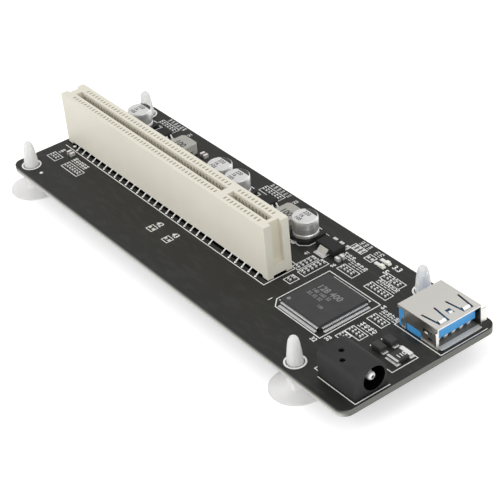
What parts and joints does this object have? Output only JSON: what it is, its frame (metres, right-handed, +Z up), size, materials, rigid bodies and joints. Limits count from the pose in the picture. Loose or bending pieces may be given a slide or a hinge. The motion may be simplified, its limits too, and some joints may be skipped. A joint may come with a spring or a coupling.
{
  "type": "card slot adapter board",
  "caption": "Long black circuit board on translucent push-in feet, with an ivory card slot, a square bridge chip, a cable socket and a round power jack at one end.",
  "frame": {"origin": "centre of the bounding box in plan, at table level under the feet", "axes": "+X along the board to the end with the cable socket and the power jack, +Y across it to the edge behind the slot, +Z up"},
  "size_m": [0.1344, 0.0486, 0.0212],
  "materials": {
    "board_laminate": "satin black mask over laminate",
    "ivory_plastic": "satin moulded",
    "contact_bronze": "gold-flashed strip",
    "tinned_metal": "matt tin",
    "black_moulding": "matt moulded",
    "can_aluminium": "drawn, satin",
    "coil_grey": "matt pressed powder",
    "chip_ceramic": "fired ceramic",
    "lamp_white": "milky",
    "shell_steel": "nickel-plated",
    "blue_plastic": "satin moulded",
    "jack_plastic": "satin moulded",
    "clear_nylon": "milky translucent"
  },
  "bodies": {
    "root": {"circuit_board": "board_laminate", "slot_housing": "ivory_plastic", "slot_contacts_near": "contact_bronze", "slot_contacts_far": "contact_bronze", "bridge_chip_body": "black_moulding", "bridge_chip_leads": "tinned_metal", "regulator_body": "black_moulding", "regulator_leads": "tinned_metal", "chip_capacitors": "chip_ceramic", "chip_resistors": "chip_ceramic", "chip_resistor_stacks": "chip_ceramic", "indicator_lamps": "lamp_white", "diode_bodies": "black_moulding", "diode_leads": "tinned_metal", "fuse_body": "black_moulding", "fuse_terminals": "tinned_metal", "cable_socket_shell": "shell_steel", "cable_socket_insulator": "blue_plastic", "cable_socket_contacts": "contact_bronze", "jack_housing": "jack_plastic", "jack_center_pin": "tinned_metal", "jack_sleeve_spring": "tinned_metal", "capacitor_1_base": "black_moulding", "capacitor_1_can": "can_aluminium", "capacitor_1_leads": "tinned_metal", "foot_1": "clear_nylon", "capacitor_2_base": "black_moulding", "capacitor_2_can": "can_aluminium", "capacitor_2_leads": "tinned_metal", "foot_2": "clear_nylon", "capacitor_3_base": "black_moulding", "capacitor_3_can": "can_aluminium", "capacitor_3_leads": "tinned_metal", "foot_3": "clear_nylon", "capacitor_4_base": "black_moulding", "capacitor_4_can": "can_aluminium", "capacitor_4_leads": "tinned_metal", "foot_4": "clear_nylon", "inductor_1_body": "coil_grey", "inductor_1_terminals": "tinned_metal", "converter_1_body": "black_moulding", "converter_1_leads": "tinned_metal", "inductor_2_body": "coil_grey", "inductor_2_terminals": "tinned_metal", "converter_2_body": "black_moulding", "converter_2_leads": "tinned_metal", "ceramic_capacitor_1": "chip_ceramic", "ceramic_capacitor_2": "chip_ceramic", "ceramic_capacitor_3": "chip_ceramic"}
  },
  "joints": []
}
